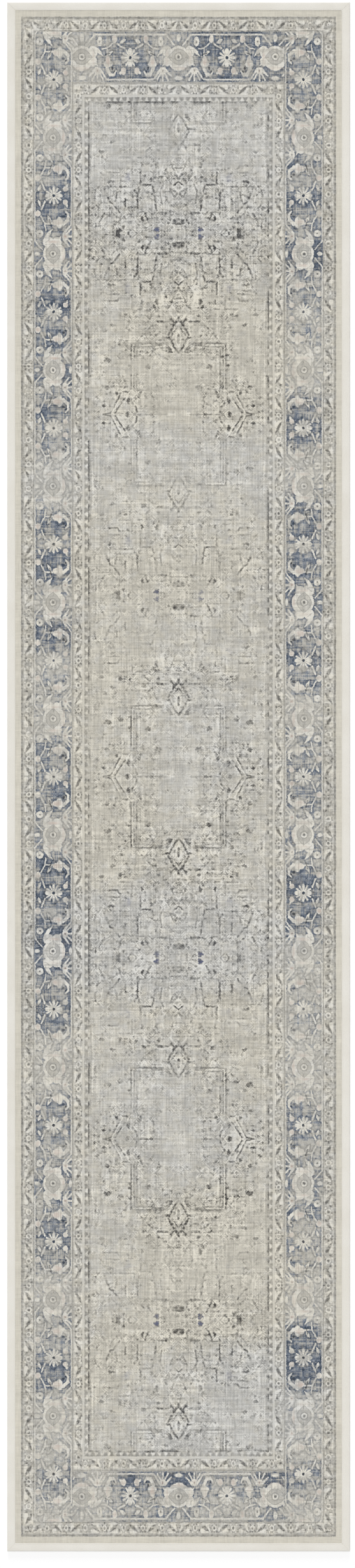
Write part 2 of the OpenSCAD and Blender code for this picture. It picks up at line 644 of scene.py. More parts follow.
def border_print(layout, kept, worn):
    """The main border: (tone, how blue it is, where it is pink)."""
    p = layout.border_point()
    q, b, _ = p.split()
    from_star = joined(layout.tree, abs(q - STAR_OFF_MIDDLE), MOTIF_HALF - b)
    leaves = least(joined_shapes(border_leaves(p)), joined_shapes(star_leaves(from_star)))
    lines = joined_shapes(border_lines(p))
    details = inked(joined_shapes(border_details(p)), 1.8)
    star_core = disc(from_star, (0, 0), STAR_CORE)
    centres = inked(least(joined_shapes(border_centres(p)), star_core), 1.8)
    heart = inked(rosette_eye(p), 3) - inked(abs(disc(p, (0, 0), 5.4)) - 1.6, 2)
    pink = inked(joined_shapes(border_blossoms(p)), 4)
    rim = inked(abs(least(leaves, lines) - 2.4) - 1.6, 1.8)

    # small leaves all over the ground, which only show as light and dark flecks
    centre, edge = diamonds(p, 13, seed=3.0)
    flecks = inked(centre - 3.6, 2) - inked(edge - 1.6, 2)

    inked_ground = (kept * 0.84 + worn.streak * (kept * 0.45 + 0.7) - 0.1).clamped()
    ground = BORDER_GROUND - inked_ground * BORDER_INK + flecks * worn.chips * tones(16)
    ground = ground + worn.scratches * inked_ground * tones(46)
    ground = ground - rim * (kept * tones(10) + tones(16))
    ground = ground - worn.dashes * (kept * tones(16) + tones(26))
    motif_tone = MOTIF + kept * tones(13) - heart * tones(26) - details * tones(34)
    covered = inked(least(leaves, lines)) * worn.chips
    mixed = either(covered, ground, motif_tone)
    mixed = mixed - centres * (kept * tones(62) + tones(36))
    blueness = (inked_ground + worn.hue * 2.0 + 0.1).clamped()
    shade = mixed + worn.texture + worn.salt * tones(7) - worn.pepper * tones(9)
    return shade, (1 - covered * 0.9) * blueness, pink * worn.pinkness


# ---- other bands
DARK_FLOWER = (13.6, 0)
PALE_FLOWER = (13.6, GUARD_HALF)


def guard_print(layout, ink_kept, worn):
    """A narrow guard band: a dark leaf slants between each dark flower and the pale ones."""
    p = layout.guard_point()
    pale = joined_shapes((
        stroke(p, (8, 13.5), (19, 21), 3, 8.5),
        leaf(p, (22.5, 12), (22.5, 40), 6),
        stroke(p, (4.5, 18), (7.5, 37), 2.5, 10),
        abs(disc(p, DARK_FLOWER, 5)) - 1.2,
        abs(disc(p, PALE_FLOWER, 5.5)) - 1.4,
        disc(p, (20.5, 49), 2.2),
        disc(p, (5, 51), 2.2),
    ))
    slanted_leaf = leaf(p, (5.5, 15), (22.5, 43), 6.5)
    dark = joined_shapes((
        slanted_leaf,
        disc(p, (9, 44.5), 2.8),
        disc(p, (21, 54), 1.8),
        disc(p, PALE_FLOWER, 2.4),
        disc(p, DARK_FLOWER, 2.6),
        petals(p, DARK_FLOWER, 8, 12.5, 3.4, 7),
    ))
    shade = GUARD_GROUND + layout.past(BORDER_END) * tones(3)
    shade = shade + inked(pale, 2) * worn.chips * tones(32) - worn.dashes * tones(22)
    dark_kept = (ink_kept * 0.9 + worn.knots * 1.4).clamped()
    rim = inked(abs(pale - 1.6) - 0.8, 1.6) * 0.4
    dark_part = most(inked(dark, 1.8), rim)
    shade = either(inked(slanted_leaf - 0.8, 1.8), shade, SLANTED_LEAF)
    shade = shade - dark_part * dark_kept * tones(58)
    return shade + worn.texture * 1.1 + worn.salt * tones(8) - worn.pepper * tones(12)


def teeth_print(layout, ink_kept, worn):
    """A row of pale wedges with their bases to the field, and dark ones between them."""
    across, along = layout.tooth_point()
    wedge = most(along - across * 0.5, 0.25 - across)
    between = inked(across * 0.5 + 0.25 - along, 0.25)
    shade = TEETH_GROUND - between * ink_kept * tones(44)
    shade = either(inked(wedge, 0.22) * worn.chips, shade, TOOTH)
    return shade + worn.texture * 1.2 + worn.salt * tones(8) - worn.pepper * tones(12)


# ---- motifs of the field
# The field's own axes: the distance from the rug's middle line, and the distance from the
# middle of a medallion. Halfway to the next medallion lies a gap, at MEDALLION_HALF.
# Lines are (width, corner, corner, ...) and spots are (x, y, half width, half height).
BOLD_LINES = (
    # the lantern at the end of a medallion, and the double V and zigzag past it
    (3.6, (0, 222), (9, 214), (24, 188)),
    (3.2, (0, 210), (15, 188)),
    (3.6, (22, 182), (10, 158), (0, 146)),
    (5, (0, 188), (0, 170)),
    (4, (0, 229), (9, 214), (17, 226)),
    (5.5, (27, 219), (48, 219)),
    (4.4, (22, 181), (37, 181)),
    # the diamond at each side of a medallion
    (3.6, (97, 0), (100, 16), (109, 27)),
    (3, (126, 39), (138, 22), (150, 3)),
    (3, (137, 49), (160, 4), (178, 0)),
    # leaves and stems round the gap
    (4, (66, 409), (79, 384)),
    (3.8, (97, 386), (97, 334), (104, 326)),
    (3.8, (126, 374), (126, 347)),
    (4, (140, 378), (154, 358), (162, 355), (175, 324)),
    (3.4, (139, 276), (145, 268), (175, 269)),
    (4, (199, 338), (196, 326)),
    (3.6, (52, 374), (58, 336), (62, 314), (90, 313), (90, 284)),
    (3.2, (0, 306), (11, 315)),
)
FAINT_LINES = (
    # the stepped frame round a medallion
    (4, (37, 168), (112, 168), (112, 62)),
    (2.6, (62, 160), (105.5, 160), (105.5, 60)),
    (2.6, (99, 150), (99, 62)),
    (5, (40, 165), (62, 163)),
    (3, (27, 0), (95, 0)),
    (5, (86, 58), (94, 40)),
    (4, (120, 54), (131, 54)),
    # brackets, stems and scrolls
    (3, (110, 318), (190, 318)),
    (3, (171, 294), (171, 284), (140, 284)),
    (3.4, (110, 280), (110, 249), (140, 249)),
    (3, (86, 249), (97, 249)),
    (3.4, (21, 391), (21, 375)),
    (5, (22, 380), (48, 380)),
    (3, (125, 394), (130, 389), (140, 399), (134, 383)),
    (3, (150, 352), (145, 331)),
    (3, (187, 401), (175, 380)),
    (3, (0, 299), (10, 284), (17, 262), (26, 250)),
    (3, (0, 274), (12, 274)),
    (3.4, (0, 243), (13, 243)),
    (3, (0, 348), (12, 340), (20, 322), (8, 330)),
    (3, (68, 226), (77, 234)),
    (3, (40, 355), (44, 330), (36, 312)),
    (2.6, (70, 378), (94, 378)),
)
PALE_LINES = (
    (3.4, (27, 176), (12, 150)),
    (3.2, (0, 196), (7, 181), (0, 160)),
    (3.4, (100, 19), (116, 51), (137, 21)),
    (3, (134, 48), (157, 4)),
    (2.6, (108.7, 158), (108.7, 64)),
    (2.6, (64, 164), (106, 164)),
    (3, (55, 137), (57, 142), (92, 142), (94, 84), (77, 99)),
    (3, (40, 94), (60, 69)),
    (3, (55, 136), (63, 121)),
    (4, (76, 176), (81, 186), (86, 176), (92, 186), (97, 177)),
    (3, (0, 330), (11, 319), (0, 309)),
    (3, (0, 290), (9, 275), (16, 258), (10, 250)),
    (3.4, (0, 236), (8, 224), (20, 240)),
    (3, (30, 300), (42, 288), (36, 262)),
    (3, (92, 405), (100, 396), (112, 402)),
    (3, (180, 352), (186, 322), (176, 305)),
    (3, (205, 60), (202, 180), (206, 300)),
    (3.4, (14, 0), (26, 3)),
)
DARK_SPOTS = (
    (51, 419, 6, 6.5), (0, 400, 12, 8), (85, 394, 3, 4.5), (196, 413, 3, 4),
    (119, 430, 3, 5), (147, 424, 9, 9), (130, 413, 2.6, 4.5), (200, 369, 4, 3.4),
    (51, 266, 5, 7), (57, 253, 3.4, 5), (86, 266, 2.6, 5), (180, 248, 3.4, 4),
    (183, 236, 5, 4), (125, 236, 4, 4), (137, 231, 5, 4), (82, 216, 7, 5),
    (160, 306, 8, 3.4), (73, 113, 6, 5), (48, 64, 8, 5), (121, 1, 5.5, 6),
    (119, 34, 3.4, 6), (177, 21, 6, 3), (197, 161, 3, 7), (179, 174, 3.4, 3),
    (156, 211, 5, 4), (176, 199, 6, 4), (116, 141, 3, 3.4), (116, 116, 3, 3.6),
    (167, 129, 7, 5), (137, 136, 6, 6), (170, 64, 5, 5), (147, 49, 4, 5),
    (21, 151, 7, 6), (30, 279, 3.4, 3.4), (120, 274, 3, 3), (48, 232, 4, 3),
)
FAINT_BLUE_SPOT = ((120, 297), (8, 10))
BLUE_SPOT = ((51, 419), (6, 6))
FRAME_MIDDLE = (104, 112)   # the tinted side of the stepped frame
FRAME_HALF = (8, 54)


def drawn(p, lines):
    """Several of the field's lines."""
    for width, *corners in lines:
        yield line(p, corners, width)


def field_print(layout, lines_kept, ornament, worn):
    """The field: a worn ground with faint outlined ornament. (tone, where it is blue)"""
    p = layout.field_point()
    ragged = knotted(p, 9)
    spots = joined_shapes(oval(ragged, spot[:2], spot[2:]) for spot in DARK_SPOTS)
    rough = knotted(p, 3)
    bold = least(joined_shapes(drawn(rough, BOLD_LINES)), spots)
    faint = joined_shapes(drawn(rough, FAINT_LINES))
    pale = joined_shapes(drawn(rough, PALE_LINES))
    across, along, _ = p.split()
    off_side = abs(across - FRAME_MIDDLE[0]) - FRAME_HALF[0]
    off_end = abs(along - FRAME_MIDDLE[1]) - FRAME_HALF[1]
    frame_fill = inked(most(off_side, off_end), 3)
    blue = inked(oval(ragged, *FAINT_BLUE_SPOT), 5) * 0.45 + inked(oval(ragged, *BLUE_SPOT), 2)

    # small ornament all over, mirrored like the rest: diamonds within diamonds
    centre, edge = diamonds(p, 19, seed=1.0)
    rings = folded(centre, 3.2)
    outlines = inked(edge - 1.6, 2.2)
    small_centre, small_edge = diamonds(p, 12, seed=2.0)
    specks = inked(small_centre - 3.4, 3)
    glints = inked(small_edge - 1.1, 2)
    patchy = (noise(p, (26, 22), detail=2.0, roughness=0.6, seed=3.0) * 5 - 2.0).clamped()
    broken = (noise(p, (9, 8), detail=1.0, seed=8.0) * 4 + worn.band * 2 - 1.4).clamped()

    shown = ornament * patchy
    inked_lines = inked(bold, 2.2) * tones(74) + inked(faint, 2.4) * tones(46)
    halo = inked(abs(least(bold, faint) - 3) - 1.2, 1.6)
    shade = FIELD_GROUND + worn.texture * (ornament * 0.7 + 1.0)
    shade = shade + (rings - 1.6) * shown * tones(14)
    shade = shade + (worn.salt * tones(6) - worn.pepper * tones(14)) * ornament
    shade = shade - outlines * shown * tones(31) - worn.dashes * ornament * tones(16)
    shade = shade - specks * shown * tones(56) + glints * shown * tones(10)
    shade = shade - worn.smudge * ornament * ornament * tones(80)
    shade = shade - frame_fill * lines_kept * tones(9)
    shade = shade + (halo * 0.3 + inked(pale, 2)) * lines_kept * tones(30)
    shade = shade - inked_lines * lines_kept * (broken * 1.2 + 0.15)
    return shade, blue * lines_kept


# ---- where the rug is worn
# The blue of the border is kept in patches along each side: (from y, to y, how much), in
# millimetres from the middle of the rug, and from x to x on the ends.
BLUE_WORN = 0.06
PATCH_FADE = 50             # how far a patch takes to fade out
# Across the near end, less blue is kept outside a line this far in
NEAR_END_LINE = 145
NEAR_END_FADE = 30
NEAR_END_OUTER_KEPT = 0.55
END_WEAR_REACH = 230        # how far in from the ends their own patches count
LEFT_BLUE = (
    (1760, 1590, 0.45), (1475, 1400, 0.45), (1400, 1310, 0.8), (1310, 1200, 0.55),
    (1200, 1150, 0.65), (1150, 1080, 1.0), (1080, 1000, 0.8), (1000, 900, 0.6),
    (900, 840, 0.75), (820, 765, 0.5), (620, 560, 0.75), (540, 440, 0.75),
    (380, 290, 0.8), (240, 160, 0.3), (95, 0, 0.6), (0, -95, 0.75),
    (-110, -180, 0.35), (-180, -320, 0.9), (-320, -425, 1.05), (-425, -485, 0.85),
    (-485, -600, 0.7), (-760, -870, 0.55), (-885, -1020, 0.5), (-1030, -1165, 0.65),
    (-1260, -1305, 0.6), (-1310, -1355, 0.4), (-1356, -1460, 0.7), (-1625, -1690, 0.5),
)
RIGHT_BLUE = (
    (1760, 1710, 0.8), (1710, 1565, 0.6), (1565, 1490, 0.4), (1475, 1400, 0.65),
    (1400, 1320, 0.8), (1320, 1278, 0.6), (1278, 1183, 1.0), (1160, 1105, 0.5),
    (1070, 1040, 0.35), (905, 770, 0.65), (660, 550, 0.75), (540, 384, 0.65),
    (343, 257, 0.75), (257, 200, 0.45), (120, 60, 0.35), (60, -94, 0.45),
    (-120, -200, 0.45), (-210, -385, 0.8), (-500, -600, 0.25), (-768, -1070, 0.5),
    (-1070, -1170, 0.4), (-1296, -1455, 0.95), (-1625, -1695, 0.6),
)
FAR_BLUE = (
    (-345, -280, 0.45), (-180, -45, 0.6), (-45, 30, 0.35), (30, 203, 0.75), (203, 345, 0.6),
)
NEAR_BLUE = ((-345, -235, 0.5), (-151, 53, 0.75), (53, 170, 0.35), (170, 345, 0.75))

# Where the field's ornament is kept: (x, y, half width, half height, how much)
ORNAMENT_WORN = 0.36
ORNAMENT_KEPT = (
    (0, 1560, 130, 45, 0.5), (0, 1470, 90, 30, 0.5), (0, 1290, 210, 115, 1.15),
    (-100, 1200, 90, 60, 0.7), (110, 1190, 80, 60, 0.7), (0, 1070, 90, 55, 0.85),
    (-30, 1018, 110, 22, 0.9), (-120, 868, 60, 60, 0.7), (120, 868, 60, 60, 0.9),
    (105, 960, 25, 90, 0.8), (0, 500, 180, 90, 0.5), (-60, 590, 70, 60, 0.4),
    (0, 225, 110, 30, 0.8), (0, 190, 120, 40, 0.55), (-110, 110, 50, 100, 0.55),
    (110, 110, 50, 100, 0.55), (-110, 0, 70, 70, 0.6), (130, 0, 60, 70, 0.85),
    (-110, -120, 50, 90, 0.7), (105, -140, 50, 90, 0.9), (0, -165, 130, 30, 0.9),
    (0, -200, 60, 60, 1.0), (0, -290, 120, 70, 0.7), (0, -400, 210, 130, 0.75),
    (0, -650, 110, 45, 0.8), (-130, -856, 70, 60, 0.8), (130, -856, 70, 70, 0.85),
    (110, -760, 60, 60, 0.7), (-110, -960, 60, 80, 0.7), (105, -985, 60, 70, 0.85),
    (0, -1045, 80, 55, 1.0), (-80, -1350, 150, 110, 0.55), (110, -1330, 110, 90, 0.8),
    (0, -1290, 200, 80, 0.45), (0, -1530, 60, 50, 0.7),
)

# Where the ground is warmer (more than 0) or cooler: (x, y, half width, half height, how much)
WARMTH = 0.55
WARMTH_PATCHES = (
    (0, 1450, 200, 150, -0.5), (-50, 690, 220, 110, -0.35), (0, 90, 140, 110, -0.25),
    (-60, -390, 240, 90, -0.5), (0, -790, 130, 120, -0.3), (90, -1480, 170, 100, -0.6),
    (60, 980, 160, 130, 0.4), (-60, 560, 180, 120, 0.35), (-150, 60, 80, 220, 0.35),
    (100, -1150, 150, 130, 0.4), (-70, -1400, 110, 100, 0.4), (120, -650, 80, 100, 0.3),
)


def soft_patch(distance, softness=0.5):
    """1 inside a patch, where distance is below 1, falling to 0 at 1 + softness."""
    share = np.clip((1 + softness - distance) / softness, 0, 1)
    return share * share * (3 - 2 * share)


def kept_along(place, patches):
    """How much blue is kept at each place along a border."""
    kept = np.full(place.shape, BLUE_WORN)
    for start, end, amount in patches:
        inside = abs(end - start) / 2 - np.abs(place - (start + end) / 2)
        patch = np.clip(inside / PATCH_FADE + 0.5, 0, 1)
        kept = np.maximum(kept, BLUE_WORN + patch * (amount - BLUE_WORN))
    return kept


def wear_at(x, y):
    """Blue kept, ornament kept and warmth at points of the rug in metres."""
    x, y = x / MM, y / MM
    sides = np.where(x < 0, kept_along(y, LEFT_BLUE), kept_along(y, RIGHT_BLUE))
    from_end = END - np.abs(y)
    inner_half = soft_patch(1 + (NEAR_END_LINE - from_end) / NEAR_END_FADE, 1.0)
    near_end_kept = NEAR_END_OUTER_KEPT + (1 - NEAR_END_OUTER_KEPT) * inner_half
    near_end = kept_along(x, NEAR_BLUE) * near_end_kept
    ends = np.where(y > 0, kept_along(x, FAR_BLUE), near_end)
    on_end = (np.abs(x) < SIDE - BORDER_END) & (from_end < END_WEAR_REACH)
    blue = np.where(on_end, ends, sides)
    ornament = np.full(x.shape, ORNAMENT_WORN)
    for px, py, rx, ry, amount in ORNAMENT_KEPT:
        patch = soft_patch(np.hypot((x - px) / rx, (y - py) / ry), 0.6)
        ornament = np.maximum(ornament, ORNAMENT_WORN + patch * (amount - ORNAMENT_WORN))
    warmth = np.full(x.shape, WARMTH)
    for px, py, rx, ry, amount in WARMTH_PATCHES:
        warmth += amount * soft_patch(np.hypot((x - px) / rx, (y - py) / ry), 0.8)
    return np.stack([blue, ornament, warmth], axis=-1)


# ---- materials
def new_material(slot, roughness, sheen=0.0):
    """A cloth-like material for one of the record's slots, its tree, and its main shader."""
    material = bpy.data.materials.new(f"{slot}_look")
    material["slot"] = slot
    material.use_nodes = True
    tree = material.node_tree
    shader = tree.nodes["Principled BSDF"]
    shader.inputs["Roughness"].default_value = roughness
    shader.inputs["Specular IOR Level"].default_value = 0.2
    shader.inputs["Sheen Weight"].default_value = sheen
    return material, tree, shader


def rug_point(tree):
    """The place on the rug in millimetres."""
    node = tree.nodes.new("ShaderNodeTexCoord")
    return vector_node(tree, "MULTIPLY", Value(tree, node.outputs["Object"]), (1 / MM,) * 3)


def dress(tree, shader, colour, height, depth):
    """Gives the shader its colour, and a surface whose height, 0 to 1, is over depth."""
    tree.links.new(colour.socket, shader.inputs["Base Color"])
    node = tree.nodes.new("ShaderNodeBump")
    node.inputs["Strength"].default_value = 1.0
    node.inputs["Distance"].default_value = depth
    plug(tree, height, node.inputs["Height"])
    tree.links.new(node.outputs[0], shader.inputs["Normal"])


def crisp(value, gain):
    """Noise around 0 made steeper, between -0.5 and 0.5."""
    return value.times_plus(gain, 0.5).clamped() - 0.5


def streaks(flat, length, width, seed, gain):
    """Noise in streaks both ways, like yarns of a plain weave: (crosswise, lengthwise)."""
    crosswise = noise(flat, (length, width), detail=1.0, seed=seed) - 0.5
    lengthwise = noise(flat, (width, length), detail=1.0, seed=seed + 0.5) - 0.5
    return crisp(crosswise, gain), crisp(lengthwise, gain)


class Wear:
    """How the yarns and the years have broken up the print, around a point in mm."""

    def __init__(self, flat):
        weft, warp = streaks(flat, 26, 2.6, seed=1.0, gain=2.4)
        long_weft, long_warp = streaks(flat, 110, 3.4, seed=2.0, gain=2.4)
        band, strand = streaks(flat, 90, 12, seed=4.0, gain=1.0)
        grain = noise(flat, (3.6, 3.2), detail=1.0, seed=9.0) - 0.5
        blotch = crisp(noise(flat, (12, 9), detail=2.0, roughness=0.6, seed=10.0) - 0.5, 1.6)
        self.cloud = noise(flat, (70, 50), detail=3.0, roughness=0.6, seed=6.0) - 0.5
        self.hue = noise(flat, (22, 18), detail=3.0, roughness=0.6, seed=12.0) - 0.5
        self.band = band + strand
        self.yarns = weft + warp
        long_yarns = long_weft + long_warp
        self.smudge = (blotch * 3 - 0.2).clamped()
        knots = noise(flat, (10, 6), detail=1.0, seed=13.0) + noise(flat, (6, 9), seed=14.0)
        self.knots = crisp(knots - 1, 2.2)
        self.scratches = (long_yarns * 1.6 - 0.25).clamped()
        self.pepper = (self.knots * 3.2 - 0.5).clamped()
        self.salt = (self.knots * -3.2 - 0.5).clamped()
        self.texture = (
            self.yarns * tones(8) + long_yarns * tones(12) + grain * tones(9)
            + blotch * tones(10) + self.band * tones(27) + self.cloud * tones(28)
        )
        self.streak = (
            self.band * 1.2 + self.cloud * 1.1 + blotch * 0.8
            + long_yarns * 0.6 + self.yarns * 0.4
        )
        self.chips = (
            self.band + blotch * 0.6 + long_yarns * 0.4 + self.yarns * 0.4 + 0.82
        ).clamped()
        self.pinkness = (0.3 - self.hue * 2).clamped()
        self.dashes = (weft * 1.4 + long_weft + self.knots * 0.8 - 0.6).clamped()


def knotted(flat, waver=3.4):
    """The place that shows here, because the yarns don't lie quite straight."""
    tree = flat.tree
    along_x = (noise(flat, (8, 5), detail=1.0, seed=11.0) - 0.5) * waver
    along_y = (noise(flat, (5, 8), detail=1.0, seed=12.0) - 0.5) * waver
    return vector_node(tree, "ADD", flat, joined(tree, along_x, along_y))


def printed_cloth():
    """The face: the print, worn in patches and broken by the yarns of a flat weave."""
    material, tree, shader = new_material("printed_cloth", 0.88, sheen=0.05)
    node = tree.nodes.new("ShaderNodeAttribute")
    node.attribute_name = "wear"
    blue_kept, ornament_kept, warmth = Value(tree, node.outputs["Vector"]).split()
    flat = vector_node(tree, "MULTIPLY", rug_point(tree), (1, 1, 0))
    worn = Wear(flat)
    kept_here = (blue_kept + worn.cloud * 0.9).clamped()
    ink_kept = (kept_here * 0.5 + 0.5 + worn.band * 1.2).clamped()
    lines_kept = (ornament_kept + worn.cloud * 1.0 + worn.band * 0.9).clamped()
    ornament = lines_kept * 0.85 + 0.15
    coolness = (0.9 - warmth - worn.hue * 1.8).clamped()

    layout = Layout(knotted(flat))
    in_border = layout.between(BORDER_START, BORDER_END)
    field_tone, field_blue = field_print(layout, lines_kept, ornament, worn)
    edge_shade = layout.between(TEETH_END, FIELD_START, 3)
    edge_shade = edge_shade + layout.between(TEETH_END, SHADE_END) * 0.3
    shade_kept = (ink_kept * 0.6 + worn.band * 3.2 + worn.yarns * 0.3).clamped()
    field_tone = field_tone - edge_shade * shade_kept * tones(64)
    mixed = either(layout.past(TEETH_END), teeth_print(layout, ink_kept, worn), field_tone)
    mixed = either(layout.past(TEETH_START), guard_print(layout, ink_kept, worn), mixed)
    border_tone, blueness, pink = border_print(layout, blue_kept, worn)
    mixed = either(in_border, mixed, border_tone)
    mixed = either(layout.lines_at(PALE_RINGS) * 0.6 * worn.chips, mixed, PALE_RING)
    pale_band = layout.between(INNER_GUARD_END, TEETH_START - 0.5)
    mixed = either(pale_band, mixed, PALE_BAND + worn.yarns * tones(8))
    outline = layout.between(MARGIN_END, GUARD_START, 2.5) * (worn.knots * 0.8 + 0.8).clamped()
    dark_rings = layout.lines_at(DARK_RINGS) * 0.45 + outline * 0.7
    mixed = mixed - dark_rings * (ink_kept * 0.6 + 0.35) * tones(62)
    margin_tone = MARGIN + worn.yarns * tones(9) + worn.band * tones(14)
    mixed = either(layout.past(MARGIN_END), margin_tone, mixed)

    colour = ramp(mixed, WARM_RAMP)
    colour = paint(colour, coolness * layout.past(MARGIN_END), ramp(mixed, COOL_RAMP))
    colour = paint(colour, in_border * blueness, ramp(mixed, BLUE_RAMP))
    colour = paint(colour, in_border * pink, PINK)
    blue_spots = field_blue * layout.past(FIELD_START) * (worn.knots + 0.75).clamped()
    colour = paint(colour, blue_spots, FLOWER_BLUE)
    yarn_height = noise(flat, (9, 0.9), detail=1.0, seed=6.0)
    yarn_height = yarn_height + noise(flat, (0.9, 9), detail=1.0, seed=7.0)
    dress(tree, shader, colour, yarn_height * 0.5, 0.3 * MM)
    return material


def woven_height(point, pitch):
    """The height of a plain weave whose yarns are pitch apart, about 0 to 1."""
    tree = point.tree
    x, y, _ = point.split()
    across = abs(math_node(tree, "SINE", x * (math.pi / pitch)))
    along = abs(math_node(tree, "SINE", y * (math.pi / pitch)))
    checks = folded(math_node(tree, "FLOOR", x / pitch) + math_node(tree, "FLOOR", y / pitch), 1)
    return either(checks, across, along)


def binding_tape():
    """Cotton tape in a fine plain weave."""
    material, tree, shader = new_material("binding_tape", 0.85, sheen=0.08)
    point = rug_point(tree)
    cloud = noise(point, (60, 60, 60), detail=2.0, seed=1.0)
    slub = noise(point, (1.2, 1.2, 1.2), detail=1.0, seed=2.0)
    colour = paint(tint(231, 228, 220), cloud.times_plus(1.6, -0.5).clamped(), tint(224, 220, 210))
    colour = scaled(tree, colour, slub.times_plus(0.10, 0.95))
    dress(tree, shader, colour, woven_height(point, 0.8) + slub, 0.08 * MM)
    return material


def felt():
    """Pressed needle felt: short fibres at all angles, with flecks."""
    material, tree, shader = new_material("felt", 0.95, sheen=0.2)
    point = rug_point(tree)
    fibres = noise(point, (2.5, 0.5, 0.5), detail=3.0, seed=1.0)
    crossed = noise(point, (0.5, 2.5, 0.5), detail=3.0, seed=2.0)
    flecks = noise(point, (3, 3, 3), detail=2.0, seed=3.0)
    colour = paint(tint(205, 200, 188), fibres.times_plus(2.0, -0.5).clamped(), tint(184, 179, 168))
    colour = paint(colour, (flecks - 0.66).times_plus(12, 0).clamped(), tint(140, 138, 134))
    dress(tree, shader, colour, fibres + crossed, 0.3 * MM)
    return material


DOT_PITCH = 7
DOT_RADIUS = 1.9


def grip_rubber():
    """Grey-beige backing cloth with rows of raised rubber dots, and painted shade in the hollows of
    its weave.
    """
    material, tree, shader = new_material("grip_rubber", 0.75)
    point = rug_point(tree)
    x, y, _ = point.split()
    row = folded(math_node(tree, "FLOOR", y / DOT_PITCH), 1)
    dot_x = folded(x + row * DOT_PITCH / 2, DOT_PITCH / 2)
    dot_y = folded(y - DOT_PITCH / 2, DOT_PITCH / 2)
    radius = joined(tree, dot_x, dot_y).length()
    dot = inked(radius - DOT_RADIUS, 0.5)
    dome = (1 - radius * radius * 0.25).clamped()
    weave = woven_height(point, 1.0)
    cloud = noise(point, (40, 40, 40), detail=3.0, seed=1.0)
    colour = paint(tint(172, 166, 154), cloud.times_plus(1.5, -0.4).clamped(), tint(158, 152, 141))
    # painted shade and light: the cloth is darker in the hollows of its weave and lighter on the
    # yarns' crests, by the same height as its bump
    colour = scaled(tree, colour, weave.times_plus(0.12, 0.92))
    colour = paint(colour, dot, tint(138, 134, 126))
    dress(tree, shader, colour, either(dot, weave * 0.2, dome + 0.2), 0.5 * MM)
    return material


THREAD_TWIST = 0.35         # millimetres from one ply to the next


def sewing_thread():
    """Twisted polyester thread, with painted shade in the grooves between its plies and painted
    light on their crests.
    """
    material, tree, shader = new_material("thread", 0.55, sheen=0.1)
    point = rug_point(tree)
    x, y, _ = point.split()
    ply_relief_and_shade = abs(math_node(tree, "SINE", (x + y) * (math.pi / THREAD_TWIST)))
    # painted shade and light: the thread is darker in the grooves between its plies and lighter on
    # their crests, by the same height as its bump
    colour = paint(tint(214, 210, 199), ply_relief_and_shade, tint(228, 225, 216))
    dress(tree, shader, colour, ply_relief_and_shade, 0.05 * MM)
    return material


def label_satin():
    """White satin ribbon, blank."""
    material, tree, shader = new_material("label_satin", 0.4, sheen=0.1)
    point = rug_point(tree)
    ribs = noise(point, (12, 0.3, 1), detail=1.0, seed=1.0)
    colour = paint(tint(240, 240, 237), ribs, tint(226, 226, 222))
    dress(tree, shader, colour, ribs, 0.05 * MM)
    return material


# ---- meshes
def make_piece(name, vertices, faces, material, nodes):
    """A mesh that stands for CAD nodes and lies still with the rug."""
    mesh = bpy.data.meshes.new(name)
    mesh.from_pydata([tuple(v) for v in vertices], [], faces)
    mesh.validate()
    mesh.polygons.foreach_set("use_smooth", [True] * len(mesh.polygons))
    mesh.materials.append(material)
    piece = bpy.data.objects.new(name, mesh)
    bpy.context.scene.collection.objects.link(piece)
    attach(piece, "root")
    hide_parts(*nodes)
    return piece


def grid_faces(rows, columns, start=0, flip=False):
    """Quads of a grid of points that are stored row by row."""
    faces = []
    for i in range(rows - 1):
        for j in range(columns - 1):
            a = start + i * columns + j
            quad = (a, a + columns, a + columns + 1, a + 1)
            faces.append(quad[::-1] if flip else quad)
    return faces


def sheet_faces(rows, columns):
    """Faces of an upper grid of points, a lower one stored after it, and closed sides."""
    count = rows * columns
    faces = grid_faces(rows, columns) + grid_faces(rows, columns, count, flip=True)
    edge = [i * columns for i in range(rows)]
    edge += [(rows - 1) * columns + j for j in range(1, columns)]
    edge += [i * columns + columns - 1 for i in range(rows - 2, -1, -1)]
    edge += list(range(columns - 2, 0, -1))
    for a, b in zip(edge, edge[1:] + edge[:1]):
        faces.append((a, b, b + count, a + count))
    return faces


def tube_faces(rings, sides):
    """Faces of a tube with closed ends, whose rings of points are stored in order."""
    faces = []
    for i in range(rings - 1):
        for j in range(sides):
            a = i * sides + j
            b = i * sides + (j + 1) % sides
            faces.append((a, b, b + sides, a + sides))
    faces.append(tuple(range(sides))[::-1])
    faces.append(tuple(range((rings - 1) * sides, rings * sides)))
    return faces


def closed_sheet(xs, ys, top, bottom):
    """Vertices and faces of a sheet that fills the space between two surfaces."""
    x, y = np.meshgrid(xs, ys, indexing="ij")
    upper = np.stack([x, y, top(x, y)], axis=-1).reshape(-1, 3)
    lower = np.stack([x, y, bottom(x, y)], axis=-1).reshape(-1, 3)
    return np.concatenate([upper, lower]), sheet_faces(len(xs), len(ys))


def spaced(half, step, extra=()):
    """Places from -half to half about a step apart, with extra ones and their mirrors."""
    even = np.linspace(-half, half, max(2, round(2 * half / step) + 1))
    marks = np.array([m for e in extra for m in (-e, e)])
    near = [abs(even - m).argmin() for m in marks if abs(m) < half]
    kept = np.delete(even, [n for n in near if 0 < n < len(even) - 1])
    return np.unique(np.concatenate([kept, marks[np.abs(marks) <= half]]))


def layer_places(half, step, insets, extra=()):
    """Places across the face or the backing, with extra ones and ones at these insets."""
    return spaced(half - rim_inset, step, [half - inset for inset in insets] + list(extra))


def inset_at(x, y):
    """Distance in from the nearest edge of the rug."""
    return np.minimum(half_width - np.abs(x), half_length - np.abs(y))


def stepped(inset, start, end, outer, inner):
    """outer up to the inset start, inner past end, and a smooth step between."""
    share = np.clip((inset - start) / (end - start), 0, 1)
    return outer + (inner - outer) * share * share * (3 - 2 * share)


